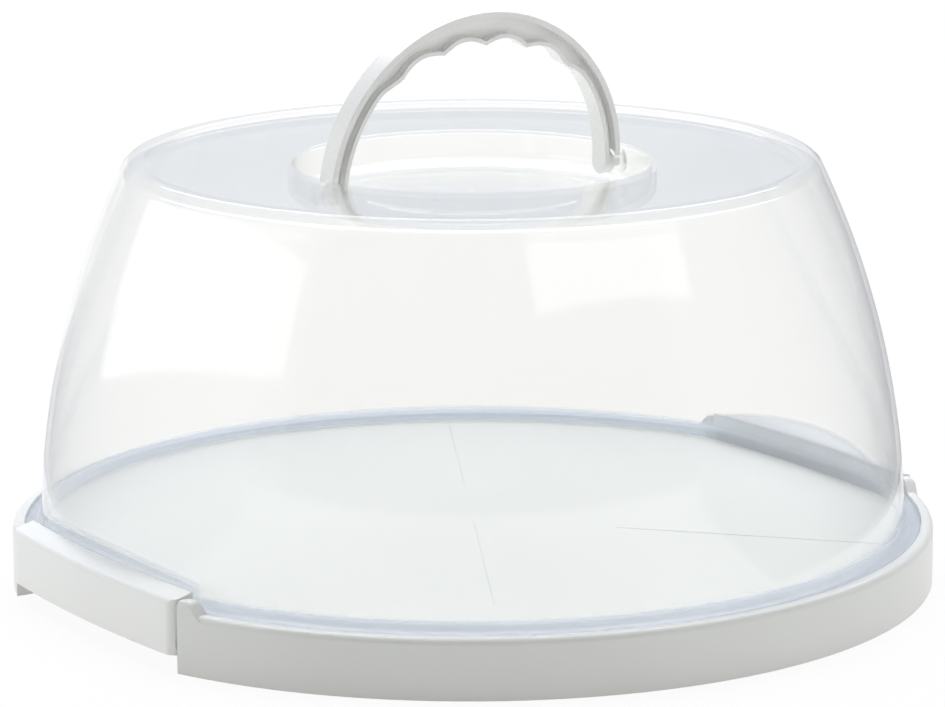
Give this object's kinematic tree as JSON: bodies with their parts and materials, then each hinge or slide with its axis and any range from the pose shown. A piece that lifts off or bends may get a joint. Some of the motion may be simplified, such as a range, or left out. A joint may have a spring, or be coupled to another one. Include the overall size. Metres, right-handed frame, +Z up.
{
  "type": "cake carrier",
  "caption": "Round cake carrier: shallow tray, clear domed lid with a folding arch handle, and two bowed clips that lock the lid's foot.",
  "frame": {"origin": "centre of the tray on the surface it stands on, on the lid's axis", "axes": "+Z up along the lid's axis, X through the two clips, the handle's pivots along X and its lean towards -Y"},
  "size_m": [0.338, 0.35, 0.2166],
  "materials": {
    "white_polypropylene": "moulded white polypropylene, satin",
    "clear_polypropylene": "moulded clear polypropylene, glossy, faintly milky",
    "handle_polypropylene": "moulded white polypropylene, satin"
  },
  "bodies": {
    "tray": {"tray": "white_polypropylene"},
    "lid": {"lid": "clear_polypropylene"},
    "handle": {"handle": "handle_polypropylene"},
    "clip_left": {"clip_left": "white_polypropylene"},
    "clip_right": {"clip_right": "white_polypropylene"}
  },
  "joints": [
    {"name": "lid_lift", "type": "slide", "parent": "tray", "child": "lid", "axis": [0, 0, 1], "range_m": [0, 0.16]},
    {"name": "handle_fold", "type": "hinge", "parent": "lid", "child": "handle", "pos_m": [0, 0, 0.152], "axis": [1, 0, 0], "range_deg": [-96, 84]},
    {"name": "clip_left_open", "type": "hinge", "parent": "tray", "child": "clip_left", "pos_m": [-0.1605, 0, 0.0105], "axis": [0, -1, 0], "range_deg": [0, 80]},
    {"name": "clip_right_open", "type": "hinge", "parent": "tray", "child": "clip_right", "pos_m": [0.1605, 0, 0.0105], "axis": [0, 1, 0], "range_deg": [0, 80]}
  ]
}
